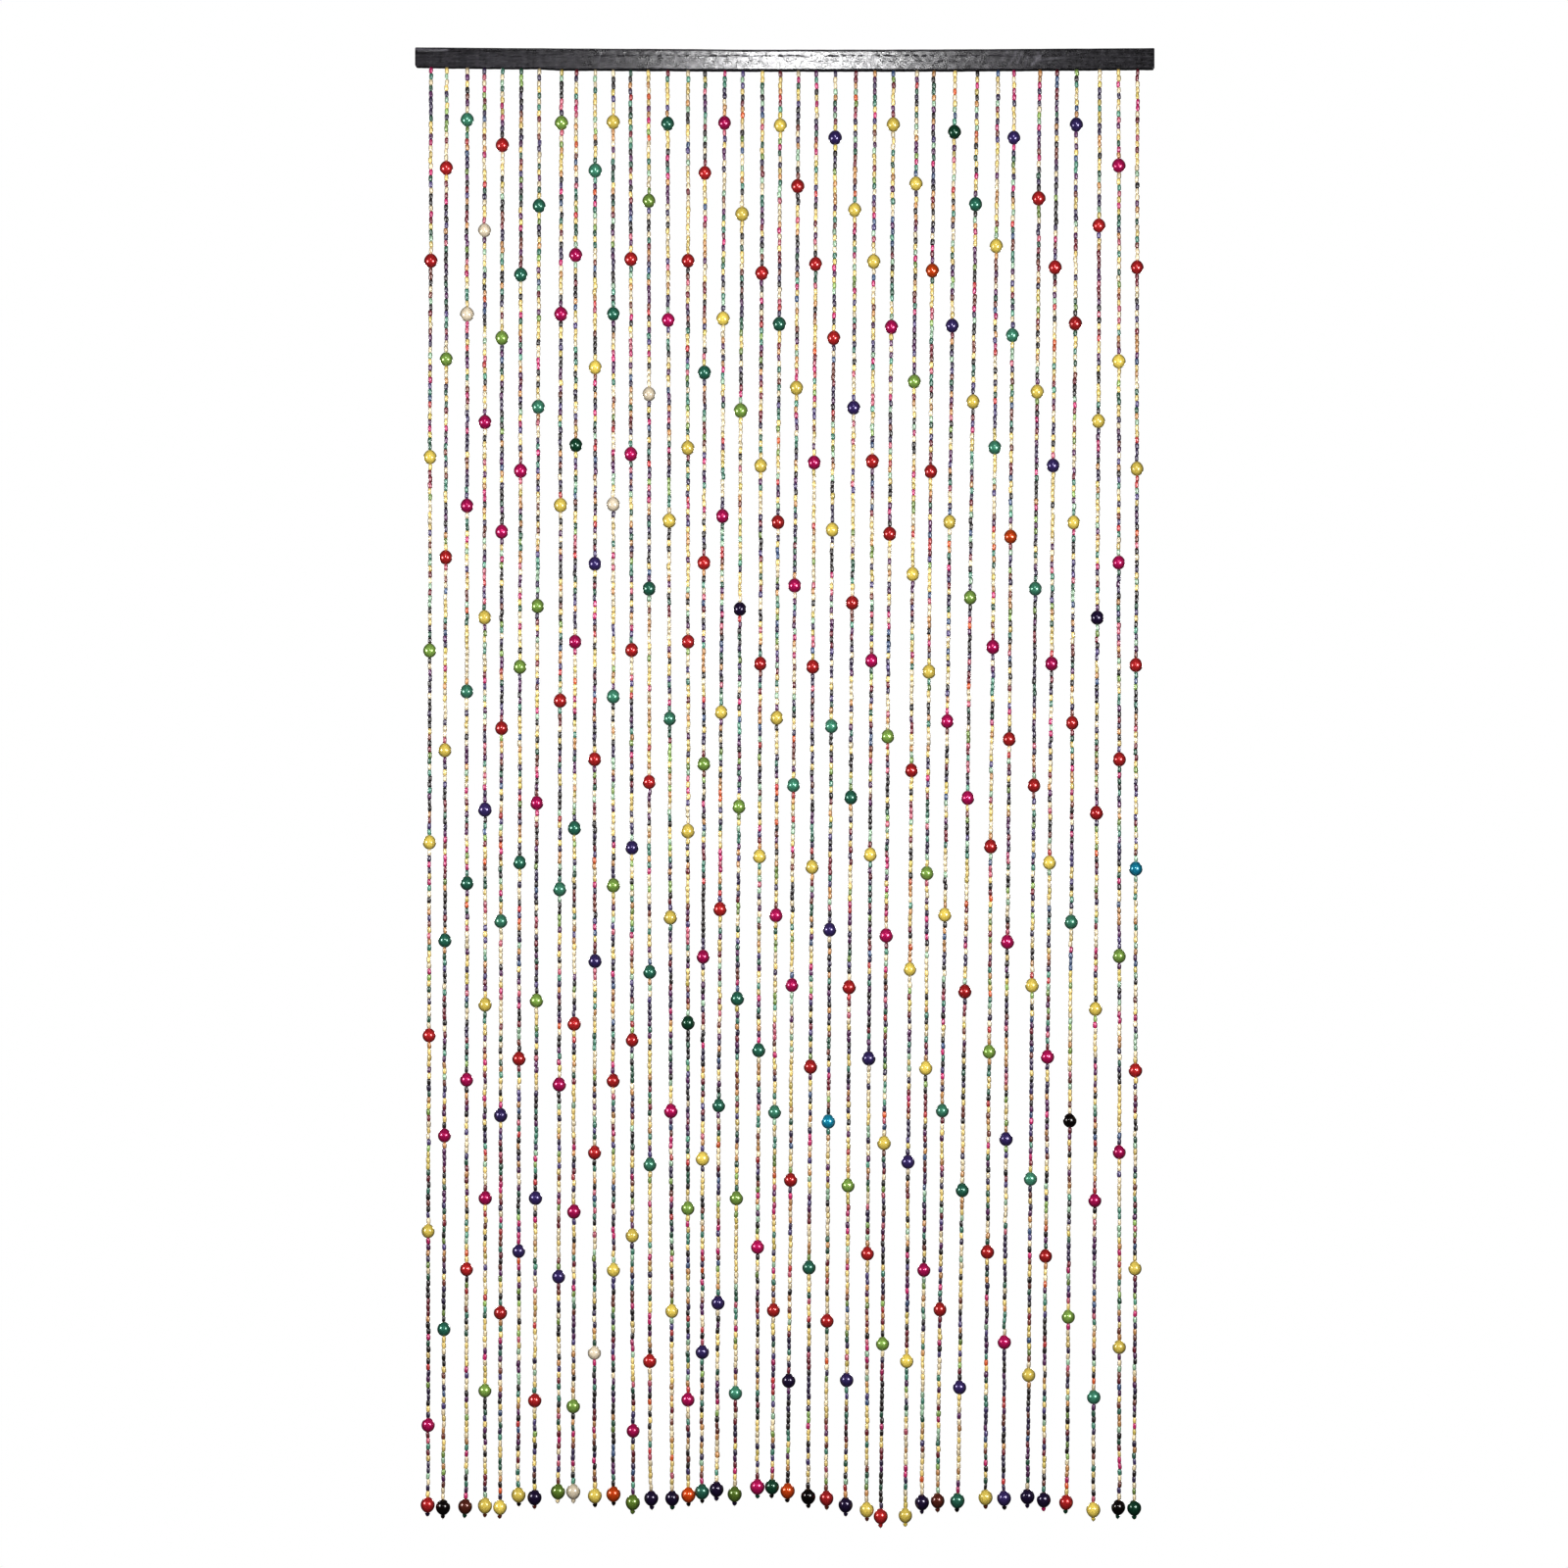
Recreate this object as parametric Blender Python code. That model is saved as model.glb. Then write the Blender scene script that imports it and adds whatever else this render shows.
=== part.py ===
"""A door curtain: strings of wooden beads that hang from a black wooden rail.

Metres, +Z up. The front faces -Y and the rail's flat back faces +Y. The origin is in the middle of that
back, half way up the rail. The strings are four-sided solids that swell at each large bead. Their roots are
fused into a narrow strip, which lies in a groove along the rail's underside.
"""

import random
from collections import namedtuple

import bmesh
import bpy

MM = 0.001

# The rail, a planed batten
RAIL_LENGTH = 900 * MM
RAIL_DEPTH = 18 * MM
RAIL_EDGE_ROUND = 1.2 * MM
RAIL_EDGE_STEPS = 2

# The groove under the rail and the strip that lies in it
GROOVE_END_WOOD = 8 * MM
STRIP_DEPTH = 7 * MM
STRIP_HEIGHT = 5 * MM
CLEARANCE = 0.3 * MM
CUTTER_OVERSHOOT = 2 * MM

# The beads
SMALL_BEAD_RADIUS = 2.6 * MM
LARGE_BEAD_RADIUS = 8 * MM
LARGE_BEAD_SHOULDER = 3.2 * MM
LARGE_BEAD_HALF = 7.8 * MM
END_BEAD_ABOVE_TIP = 14 * MM
STOPPER_TIP_RADIUS = 1.9 * MM
ROOT_DEPTH = 2 * MM
SPACING_SLACK = 4 * MM
STRING_SIDES = ((1, 0), (0, 1), (-1, 0), (0, -1))

# Colours and roughness as in the photo
RAIL_COLOUR = (0.012, 0.012, 0.013)
RAIL_ROUGHNESS = 0.35
BEAD_COLOUR = (0.36, 0.12, 0.06)
BEAD_ROUGHNESS = 0.3

# The batten is bowed a little and is thinner near its left end. Each row is one cut across it, in
# millimetres: how far it is along the rail from the left, and how high its top and its underside are.
RailCut = namedtuple("RailCut", "along top underside")
RAIL_CUTS = (
    RailCut(0, 15.5, -8.0),
    RailCut(90, 14.6, -9.3),
    RailCut(150, 14.2, -9.7),
    RailCut(175, 14.0, -11.2),
    RailCut(300, 13.4, -11.9),
    RailCut(400, 12.5, -12.5),
    RailCut(500, 12.5, -12.5),
    RailCut(650, 12.8, -12.4),
    RailCut(750, 13.5, -11.7),
    RailCut(900, 14.4, -10.4),
)

# One row for each string, from left to right, in millimetres: where its root is along the rail from the
# left, how far its foot drifts to the right, how far the first and the last of its spaced large beads are
# below the origin, how many of those there are, and how far down its tip is.
BeadString = namedtuple("BeadString", "root drift first last spaced tip")
STRINGS = (
    BeadString(19, -4, 244, 1663, 7, 1774),
    BeadString(38, -4, 131, 1546, 7, 1777),
    BeadString(63, -1, 72, 1473, 7, 1776),
    BeadString(84, 1, 207, 1621, 7, 1775),
    BeadString(106, -3, 103, 1526, 7, 1777),
    BeadString(129, -4, 261, 1451, 6, 1762),
    BeadString(151, -6, 177, 1633, 7, 1765),
    BeadString(178, -4, 76, 1482, 7, 1758),
    BeadString(196, -4, 237, 1640, 7, 1758),
    BeadString(219, -1, 134, 1575, 7, 1763),
    BeadString(241, 0, 75, 1474, 7, 1761),
    BeadString(262, 3, 242, 1670, 7, 1771),
    BeadString(284, 2, 171, 1585, 7, 1766),
    BeadString(307, 6, 77, 1524, 7, 1766),
    BeadString(332, 0, 244, 1632, 7, 1762),
    BeadString(353, -4, 137, 1574, 7, 1758),
    BeadString(377, -10, 76, 1514, 7, 1755),
    BeadString(399, -10, 187, 1624, 7, 1761),
    BeadString(423, -7, 259, 1446, 6, 1752),
    BeadString(445, -10, 79, 1523, 7, 1752),
    BeadString(467, -13, 153, 1609, 7, 1757),
    BeadString(489, -11, 248, 1471, 6, 1764),
    BeadString(512, -12, 94, 1536, 7, 1766),
    BeadString(537, -13, 182, 1608, 7, 1774),
    BeadString(560, -11, 245, 1454, 6, 1780),
    BeadString(583, -16, 78, 1564, 7, 1788),
    BeadString(611, -14, 150, 1585, 7, 1787),
    BeadString(632, -15, 256, 1474, 6, 1771),
    BeadString(658, -22, 87, 1522, 7, 1769),
    BeadString(685, -24, 175, 1617, 7, 1769),
    BeadString(710, -16, 226, 1452, 6, 1765),
    BeadString(730, -14, 94, 1562, 7, 1766),
    BeadString(761, -15, 168, 1602, 7, 1764),
    BeadString(782, -17, 252, 1457, 6, 1768),
    BeadString(806, -12, 78, 1531, 7, 1771),
    BeadString(834, -8, 201, 1629, 7, 1780),
    BeadString(857, 1, 128, 1568, 7, 1777),
    BeadString(880, -4, 252, 1472, 6, 1778),
)


def clear_scene():
    for item in list(bpy.data.objects):
        bpy.data.objects.remove(item, do_unlink=True)


def plain_material(name, colour, roughness):
    material = bpy.data.materials.new(name)
    material.use_nodes = True
    shader = material.node_tree.nodes["Principled BSDF"]
    shader.inputs["Base Color"].default_value = (*colour, 1)
    shader.inputs["Roughness"].default_value = roughness
    shader.inputs["Metallic"].default_value = 0
    return material


def add_piece(name, mesh, material):
    piece = bpy.data.objects.new(name, mesh)
    bpy.context.scene.collection.objects.link(piece)
    mesh.materials.append(material)
    return piece


def add_helper(name, mesh):
    """A shape that only cuts or joins, and doesn't show."""
    helper = bpy.data.objects.new(name, mesh)
    bpy.context.scene.collection.objects.link(helper)
    helper.hide_render = True
    helper.display_type = "WIRE"
    return helper


def add_boolean(piece, name, operation, helper):
    modifier = piece.modifiers.new(name, "BOOLEAN")
    modifier.operation = operation
    modifier.object = helper


def loft(name, tubes):
    """One mesh of closed tubes. Each tube is a list of rings, and each ring is a list of points."""
    form = bmesh.new()
    for rings in tubes:
        loops = [[form.verts.new(point) for point in ring] for ring in rings]
        sides = len(loops[0])
        for upper, lower in zip(loops, loops[1:]):
            for i in range(sides):
                j = (i + 1) % sides
                form.faces.new((upper[i], upper[j], lower[j], lower[i]))
        form.faces.new(loops[0])
        form.faces.new(loops[-1])
    bmesh.ops.recalc_face_normals(form, faces=form.faces)
    mesh = bpy.data.meshes.new(name)
    form.to_mesh(mesh)
    form.free()
    return mesh


def rail_x(along):
    """The place of a point that is this far along the rail from its left end."""
    return along - RAIL_LENGTH / 2


def underside_at(along):
    """The height of the rail's underside there."""
    for left, right in zip(RAIL_CUTS, RAIL_CUTS[1:]):
        if along <= right.along * MM:
            share = (along - left.along * MM) / ((right.along - left.along) * MM)
            return (left.underside + share * (right.underside - left.underside)) * MM
    return RAIL_CUTS[-1].underside * MM


def cross_section(x, depth, low, high):
    """The corners of a cut across a bar that is this deep from front to back and centred in the rail."""
    front = -RAIL_DEPTH / 2 - depth / 2
    back = -RAIL_DEPTH / 2 + depth / 2
    return [(x, front, low), (x, back, low), (x, back, high), (x, front, high)]


def rail_mesh():
    rings = []
    for cut in RAIL_CUTS:
        rings.append(cross_section(rail_x(cut.along * MM), RAIL_DEPTH, cut.underside * MM, cut.top * MM))
    return loft("rail", [rings])


def underside_bar(name, end_gap, depth, below, above):
    """A bar that follows the rail's underside, from so far below it to so far above it."""
    start = GROOVE_END_WOOD + end_gap
    stop = RAIL_LENGTH - start
    inner = [cut.along * MM for cut in RAIL_CUTS[1:-1]]
    rings = []
    for along in [start, *inner, stop]:
        level = underside_at(along)
        rings.append(cross_section(rail_x(along), depth, level - below, level + above))
    return loft(name, [rings])


def large_bead_depths(row, seed):
    """How far down the middle of each large bead is, the last bead of the string included. The spaced beads
    between the first and the last of them are a little uneven, as hand threading leaves them."""
    slack = random.Random(seed)
    first = row.first * MM
    step = (row.last - row.first) * MM / (row.spaced - 1)
    depths = [first + i * step for i in range(row.spaced)]
    for i in range(1, row.spaced - 1):
        depths[i] += slack.uniform(-SPACING_SLACK, SPACING_SLACK)
    return [*depths, row.tip * MM - END_BEAD_ABOVE_TIP]


def string_x(row, depth):
    """The string's place along X at this depth: it hangs straight, with a slight lean."""
    return rail_x(row.root * MM) + row.drift * MM * depth / (row.tip * MM)


def string_rings(row, seed):
    along = row.root * MM
    sizes = [(-underside_at(along) - ROOT_DEPTH, SMALL_BEAD_RADIUS)]
    for depth in large_bead_depths(row, seed):
        sizes.append((depth - LARGE_BEAD_HALF, SMALL_BEAD_RADIUS))
        sizes.append((depth - LARGE_BEAD_SHOULDER, LARGE_BEAD_RADIUS))
        sizes.append((depth + LARGE_BEAD_SHOULDER, LARGE_BEAD_RADIUS))
        sizes.append((depth + LARGE_BEAD_HALF, SMALL_BEAD_RADIUS))
    sizes.append((row.tip * MM, STOPPER_TIP_RADIUS))
    rings = []
    for depth, radius in sizes:
        x = string_x(row, depth)
        rings.append([(x + radius * a, -RAIL_DEPTH / 2 + radius * b, -depth) for a, b in STRING_SIDES])
    return rings


def add_rail():
    rail = add_piece("rail", rail_mesh(), plain_material("black_paint", RAIL_COLOUR, RAIL_ROUGHNESS))
    edges = rail.modifiers.new("rounded_edges", "BEVEL")
    edges.width = RAIL_EDGE_ROUND
    edges.segments = RAIL_EDGE_STEPS
    edges.limit_method = "ANGLE"
    groove_depth = STRIP_DEPTH + 2 * CLEARANCE
    groove = underside_bar("groove", 0, groove_depth, CUTTER_OVERSHOOT, STRIP_HEIGHT + CLEARANCE)
    add_boolean(rail, "groove", "DIFFERENCE", add_helper("groove_cutter", groove))


def add_strings():
    strip = underside_bar("strings", CLEARANCE, STRIP_DEPTH, 0, STRIP_HEIGHT)
    strings = add_piece("strings", strip, plain_material("painted_beads", BEAD_COLOUR, BEAD_ROUGHNESS))
    tubes = loft("bead_strings", [string_rings(row, seed) for seed, row in enumerate(STRINGS)])
    add_boolean(strings, "roots", "UNION", add_helper("hanging_strings", tubes))


clear_scene()
add_rail()
add_strings()
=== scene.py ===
"""The looks of a door curtain: strings of painted wooden beads on a black wooden rail.

Metres, +Z up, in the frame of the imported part: the front faces -Y, and the origin is in the middle of the
rail's flat back. The rail and each string get a finer form here. Every bead is a turned piece with its own
bore, lean and paint, threaded so that it touches its neighbours, and it hangs where the part's own string
hangs.
"""

import math
import random
from collections import namedtuple

import bpy
import numpy as np
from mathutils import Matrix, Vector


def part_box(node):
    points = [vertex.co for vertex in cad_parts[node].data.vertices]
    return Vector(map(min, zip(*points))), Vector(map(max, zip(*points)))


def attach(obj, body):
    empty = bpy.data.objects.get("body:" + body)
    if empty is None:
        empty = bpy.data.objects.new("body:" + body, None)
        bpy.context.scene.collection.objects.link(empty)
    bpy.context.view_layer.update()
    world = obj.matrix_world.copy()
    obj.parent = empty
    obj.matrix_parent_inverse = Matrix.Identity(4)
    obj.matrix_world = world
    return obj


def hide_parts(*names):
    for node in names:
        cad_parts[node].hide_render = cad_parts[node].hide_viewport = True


MM = 0.001

# The rail, as in the part
RAIL_LENGTH = 900 * MM
RAIL_DEPTH = 18 * MM
RAIL_EDGE_ROUND = 1.2 * MM

# The beads, where the part has them. Their radii are as the photo shows them: the small ones are slimmer
# than the part's, and the large ones are a little bigger.
SMALL_BEAD_RADIUS = 2.35 * MM
LARGE_BEAD_RADIUS = 8.1 * MM
END_BEAD_RADIUS = 8.6 * MM
END_BEAD_ABOVE_TIP = 14 * MM
SPACING_SLACK = 4 * MM

# How the rail was planed and handled
RAIL_STATION_GAP = 2.5 * MM
RAIL_EDGE_STEPS = 4
LOWER_FRONT_ROUND = 0.4 * MM
LOWER_LEFT_CORNER = 2.6 * MM
LOWER_LEFT_LIFT = 0.8
LEAST_EDGE_ROUND = 0.15 * MM
UNDERSIDE_BUMPS = 0.28 * MM
UNDERSIDE_BUMP_LENGTHS = (9 * MM, 23 * MM, 41 * MM, 77 * MM)
TOP_BUMPS = 0.12 * MM
TOP_BUMP_LENGTHS = (31 * MM, 64 * MM, 150 * MM)
FACE_WAVES = 0.05 * MM
FACE_WAVE_LENGTHS = (14 * MM, 37 * MM, 90 * MM)
FACE_WAVE_HEIGHT = 3 * MM
PLANED_LENGTH = 46 * MM
PLANED_HEIGHT = 5 * MM
PLANED_SLOPE = 0.3
RAIL_SEED = 7

# How many points each side of a cut across the rail has, how much the points beside its rounded edges count
# as rim, and where the rail lies in its map
SIDE_STEPS = (14, 8, 6, 8)
BESIDE_EDGE_RIM = 0.6
RAIL_MAP_ROWS = 3
RAIL_MAP_ROW_HEIGHT = 0.3
RAIL_MAP_SHARE = 0.99

# Where the rail's paint is lighter: scratches scuffed to grey, a broad lighter band along the left of the
# front, and painted highlights where the planed facet at the top-left edge and a raised grain line on the
# right catch the light. Each is a line between two places, each given as its distance along the rail
# and its height in millimetres, how wide it is, and how many times the paint's own brightness it adds.
BrightStroke = namedtuple("BrightStroke", "start stop width brighter")
SCUFFS_AND_GLINTS = (
    # Painted highlight: the planed facet at the top-left edge, lighter where it catches the light
    BrightStroke((0, 13.6), (40, 12.2), 1.2, 3),
    # A broad lighter band along the left of the front
    BrightStroke((0, -4), (150, -3), 9, 0.45),
    BrightStroke((150, -3), (240, -3), 9, 0.3),
    # Scratches scuffed to grey
    BrightStroke((713, -2), (720, 10), 1.4, 1.2),
    BrightStroke((724, -5), (732, 10), 1.4, 1.6),
    BrightStroke((733, -3), (739, 9), 1.3, 1.7),
    BrightStroke((742, -8), (746, 4), 1.3, 1.2),
    BrightStroke((759, 9), (757, -2), 1.3, 2.2),
    BrightStroke((751, -6), (761, 5), 1.2, 2.8),
    BrightStroke((754, 4), (764, -1), 1.2, 2.2),
    # Painted highlight: a raised grain line on the right, lighter where it catches the light
    BrightStroke((764, 1), (784, 2.4), 0.9, 1.5),
    BrightStroke((784, 2.4), (803, 2.4), 0.8, 0.9),
)

# How many of its widths a stroke reaches to each side, and the share of the rail's depth that it starts at
STROKE_REACH = 1.6
STROKE_FRONT = 0.7

# How much the saw's streaks and the brush's mottles change the paint's brightness
SAWN_STREAKS = 0.16
MOTTLES = 0.2

# Small beads, and how unevenly all beads sit. Spreads and ovality are shares of a bead's own size, and a
# lean is how far it goes sideways for each unit of height.
SMALL_BEAD_LENGTH = 7.24 * MM
BEAD_GAP = 0.04 * MM
SMALL_LENGTH_SPREAD = 0.02
SMALL_RADIUS_SPREAD = 0.06
SMALL_BEAD_LEAN = 0.06
LARGE_BEAD_LEAN = 0.04
MOST_LEAN = 0.11
OFF_CENTRE = 0.23 * MM
OVALITY = 0.02

# How the beads were picked: the chance that a small one is like the one before it, how much paler or darker
# one handful is than another, and the seed that the large ones are dealt by
SAME_AGAIN = 0.04
HANDFUL_TONE = 0.34
DEAL_SEED = 3

# Large beads and what closes each string
LARGE_RADIUS_SPREAD = 0.012
STOPPER_LENGTH = 4.0 * MM
STOPPER_RADIUS = 3.0 * MM
STOPPER_RADIUS_SHARES = (0.88, 1.08)
STOPPER_LEAN = 0.16
STOPPER_LIKE_BEAD = 0.4

# How a string hangs
SWAY = 0.45 * MM
SWAY_FULL_AT = 200 * MM
SWAY_LENGTHS = (330 * MM, 520 * MM, 870 * MM)
TAIL_LENGTH = 60 * MM
TAIL_KICK = 1.1 * MM
SWAY_TO_THE_FRONT = 0.5
LEAN_STEP = 2 * MM

# The thread, and where it lies in its map
THREAD_RADIUS = 0.4 * MM
THREAD_SIDES = 6
THREAD_STEP = 40 * MM
THREAD_IN_WOOD = 2 * MM
THREAD_END = 0.7 * MM
THREAD_CELL = 0.8
THREAD_MAP_HEIGHT = 0.98

# The photo: its side in pixels, the real size of one, and the pixel where the origin shows. The lens and the
# sensor, in millimetres, are long enough for the level view, which shows no convergence.
PHOTO_SIDE = 1600
PIXEL = 1.19443 * MM
ORIGIN_PIXEL = (800.75, 62.05)
CAMERA_LENS = 135
CAMERA_SENSOR = 36

# The light that the rail mirrors, in metres, and how bright its face is when white paper in full light is 1
RAIL_LIGHT_DISTANCE = 4.0
RAIL_LIGHT_SIDE = 0.2
RAIL_LIGHT_X = 0.03
RAIL_LIGHT_BRIGHTNESS = 140

# The floor, in metres. It is nearly black and glows evenly, so that it looks pale and takes no shadow.
FLOOR_BELOW_TIPS = 200 * MM
FLOOR_WIDTH = 9.0
FLOOR_BEHIND = 0.9
FLOOR_IN_FRONT = 3.2
FLOOR_GLOW = 0.96
FLOOR_COLOUR = (0.05, 0.05, 0.05)
FLOOR_ROUGHNESS = 0.7

# The weak light that comes from all round
ROOM_LIGHT = (0.05, 0.05, 0.052)

# How much deeper mid tones are shown, and the tones that the curve is drawn through
PRINT_CONTRAST = 1.4
PRINT_TONES = (0.03, 0.12, 0.3, 0.6)

# The batten is bowed a little and is thinner near its left end. Each row is one cut across it, in
# millimetres: how far it is along the rail from the left, and how high its top and its underside are.
RailCut = namedtuple("RailCut", "along top underside")
RAIL_CUTS = (
    RailCut(0, 15.5, -8.0),
    RailCut(90, 14.6, -9.3),
    RailCut(150, 14.2, -9.7),
    RailCut(175, 14.0, -11.2),
    RailCut(300, 13.4, -11.9),
    RailCut(400, 12.5, -12.5),
    RailCut(500, 12.5, -12.5),
    RailCut(650, 12.8, -12.4),
    RailCut(750, 13.5, -11.7),
    RailCut(900, 14.4, -10.4),
)

# One row for each string, from left to right, in millimetres: where its root is along the rail from the
# left, how far its foot drifts to the right, how far the first and the last of its spaced large beads are
# below the origin, how many of those there are, and how far down its tip is.
BeadString = namedtuple("BeadString", "root drift first last spaced tip")
STRINGS = (
    BeadString(19, -4, 244, 1663, 7, 1774),
    BeadString(38, -4, 131, 1546, 7, 1777),
    BeadString(63, -1, 72, 1473, 7, 1776),
    BeadString(84, 1, 207, 1621, 7, 1775),
    BeadString(106, -3, 103, 1526, 7, 1777),
    BeadString(129, -4, 261, 1451, 6, 1762),
    BeadString(151, -6, 177, 1633, 7, 1765),
    BeadString(178, -4, 76, 1482, 7, 1758),
    BeadString(196, -4, 237, 1640, 7, 1758),
    BeadString(219, -1, 134, 1575, 7, 1763),
    BeadString(241, 0, 75, 1474, 7, 1761),
    BeadString(262, 3, 242, 1670, 7, 1771),
    BeadString(284, 2, 171, 1585, 7, 1766),
    BeadString(307, 6, 77, 1524, 7, 1766),
    BeadString(332, 0, 244, 1632, 7, 1762),
    BeadString(353, -4, 137, 1574, 7, 1758),
    BeadString(377, -10, 76, 1514, 7, 1755),
    BeadString(399, -10, 187, 1624, 7, 1761),
    BeadString(423, -7, 259, 1446, 6, 1752),
    BeadString(445, -10, 79, 1523, 7, 1752),
    BeadString(467, -13, 153, 1609, 7, 1757),
    BeadString(489, -11, 248, 1471, 6, 1764),
    BeadString(512, -12, 94, 1536, 7, 1766),
    BeadString(537, -13, 182, 1608, 7, 1774),
    BeadString(560, -11, 245, 1454, 6, 1780),
    BeadString(583, -16, 78, 1564, 7, 1788),
    BeadString(611, -14, 150, 1585, 7, 1787),
    BeadString(632, -15, 256, 1474, 6, 1771),
    BeadString(658, -22, 87, 1522, 7, 1769),
    BeadString(685, -24, 175, 1617, 7, 1769),
    BeadString(710, -16, 226, 1452, 6, 1765),
    BeadString(730, -14, 94, 1562, 7, 1766),
    BeadString(761, -15, 168, 1602, 7, 1764),
    BeadString(782, -17, 252, 1457, 6, 1768),
    BeadString(806, -12, 78, 1531, 7, 1771),
    BeadString(834, -8, 201, 1629, 7, 1780),
    BeadString(857, 1, 128, 1568, 7, 1777),
    BeadString(880, -4, 252, 1472, 6, 1778),
)

# The tins of paint, each with its colour as a screen shows it, how much lustre pigment is in it, and its
# weight in the draw for the spaced large beads, the last beads, the small beads and the stoppers.
Paint = namedtuple("Paint", "name screen lustre large last small stopper")
PAINTS = (
    Paint("cherry_red", (177, 56, 58), 0.35, 25, 12, 2, 2),
    Paint("crimson_pink", (179, 36, 104), 0.35, 17, 3, 5, 2),
    Paint("sunflower_yellow", (192, 175, 96), 0.0, 21, 23, 3, 4),
    Paint("bottle_green", (36, 84, 64), 0.35, 1, 4, 5, 8),
    Paint("deep_teal", (62, 120, 102), 0.35, 8, 4, 5, 0),
    Paint("sea_green", (86, 146, 124), 0.35, 8, 0, 2, 0),
    Paint("leaf_green", (138, 166, 93), 0.35, 10, 0, 2, 0),
    Paint("olive_green", (112, 136, 66), 0.35, 0, 8, 3, 0),
    Paint("midnight_blue", (74, 60, 112), 0.35, 9, 2, 4, 0),
    Paint("indigo", (50, 36, 72), 0.35, 1, 24, 10, 10),
    Paint("ivory", (192, 182, 164), 0.0, 2, 2, 0, 0),
    Paint("natural_cream", (212, 198, 166), 0.0, 0, 0, 17, 16),
    Paint("ebony", (26, 18, 18), 0.35, 0.4, 7, 13, 40),
    Paint("tangerine", (198, 90, 36), 0.35, 0.6, 6, 1, 0),
    Paint("chestnut", (112, 60, 48), 0.35, 0.4, 6, 5, 14),
    Paint("lake_blue", (38, 140, 164), 0.35, 0.6, 0, 0, 0),
    Paint("plum", (84, 30, 84), 0.35, 0, 0, 9, 2),
    Paint("straw", (212, 190, 122), 0.0, 0, 0, 18, 2),
    Paint("wine", (112, 28, 44), 0.35, 0, 0, 6, 0),
    Paint("ochre", (180, 136, 86), 0.0, 0, 0, 9, 0),
    Paint("dusky_rose", (180, 92, 112), 0.35, 0, 0, 3, 0),
    Paint("celadon", (148, 178, 152), 0.35, 0, 0, 5, 0),
    Paint("slate_blue", (60, 84, 120), 0.35, 0, 0, 3, 0),
)

# The shape of a turned bead: the height and radius of each ring, as shares of half its length and of its
# radius, from the bottom up. The last ring joins the first through the bore.
TurnedForm = namedtuple("TurnedForm", "rings sides")
SMALL_FORM = TurnedForm(((-1, 0.56), (-0.92, 0.84), (-0.42, 1), (0.42, 1), (0.92, 0.84), (1, 0.56)), 8)
STOPPER_FORM = TurnedForm(((-1, 0.3), (-0.8, 0.54), (-0.2, 0.78), (0.4, 0.95), (0.85, 1), (1, 0.5)), 10)
LARGE_BORE = 0.15
LARGE_BANDS = 12
LARGE_SIDES = 16
LARGE_STRETCH = (0.03, 0.13)
END_STRETCH = (0.13, 0.13)
SMOOTH_UNDER_DEGREES = 62

# Where each form's beads lie in the map of a string: in rows of so many columns, between two heights
MapBand = namedtuple("MapBand", "columns low high")
SMALL_BAND = MapBand(16, 0.0, 0.7)
LARGE_BAND = MapBand(4, 0.7, 0.88)
END_BAND = MapBand(4, 0.88, 0.96)
STOPPER_BAND = MapBand(8, 0.96, 1.0)
CELL_MARGIN = 0.04
BORE_UP_TO = 0.1
OUTSIDE_FROM = 0.16

# What one form's beads need, one entry for each bead, and what they make
Beads = namedtuple("Beads", "middles halves radii leans paints")
Part = namedtuple("Part", "points faces paints corners rim tone place")


def rail_x(along):
    """The place of a point that is this far along the rail from its left end."""
    return along - RAIL_LENGTH / 2


def string_x(row, depth):
    """The string's place along X at this depth: it hangs straight, with a slight lean."""
    return rail_x(row.root * MM) + row.drift * MM * depth / (row.tip * MM)


def large_bead_depths(row, seed):
    """How far down the middle of each large bead is, the last bead of the string included. The spaced beads
    between the first and the last of them are a little uneven, as hand threading leaves them."""
    slack = random.Random(seed)
    first = row.first * MM
    step = (row.last - row.first) * MM / (row.spaced - 1)
    depths = [first + i * step for i in range(row.spaced)]
    for i in range(1, row.spaced - 1):
        depths[i] += slack.uniform(-SPACING_SLACK, SPACING_SLACK)
    return [*depths, row.tip * MM - END_BEAD_ABOVE_TIP]


def cut_heights(along):
    """The height of the rail's underside and of its top at these places along it."""
    places = [cut.along * MM for cut in RAIL_CUTS]
    low = np.interp(along, places, [cut.underside * MM for cut in RAIL_CUTS])
    high = np.interp(along, places, [cut.top * MM for cut in RAIL_CUTS])
    return low, high


def slow_waves(along, lengths, rng):
    """A smooth uneven line between about -1 and 1: one wave of each length, each starting anywhere."""
    total = np.zeros_like(along)
    for length in lengths:
        total += np.sin(2 * math.pi * (along / length + rng.random()))
    return total / len(lengths)


# Materials

# The stretch of the noise that makes grain, and the stretch in which paint is rubbed off
GRAIN_RANGE = (0.3, 0.7)
RUBBED_RANGE = (0.95, 1.1)


def linear(screen):
    """A colour as light, from the colour that a screen shows in steps of 0 to 255."""
    shares = [step / 255 for step in screen]
    return tuple(s / 12.92 if s <= 0.04045 else ((s + 0.055) / 1.055) ** 2.4 for s in shares)


def add_node(tree, kind, values=None, **settings):
    node = tree.nodes.new(kind)
    for name, value in settings.items():
        setattr(node, name, value)
    for name, value in (values or {}).items():
        node.inputs[name].default_value = value
    return node


def add_maths(tree, operation, first, second):
    """One sum of two values, each a socket or a number."""
    node = add_node(tree, "ShaderNodeMath", operation=operation)
    for socket, value in zip(node.inputs, (first, second)):
        if isinstance(value, bpy.types.NodeSocket):
            tree.links.new(value, socket)
        else:
            socket.default_value = value
    return node.outputs[0]


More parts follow.
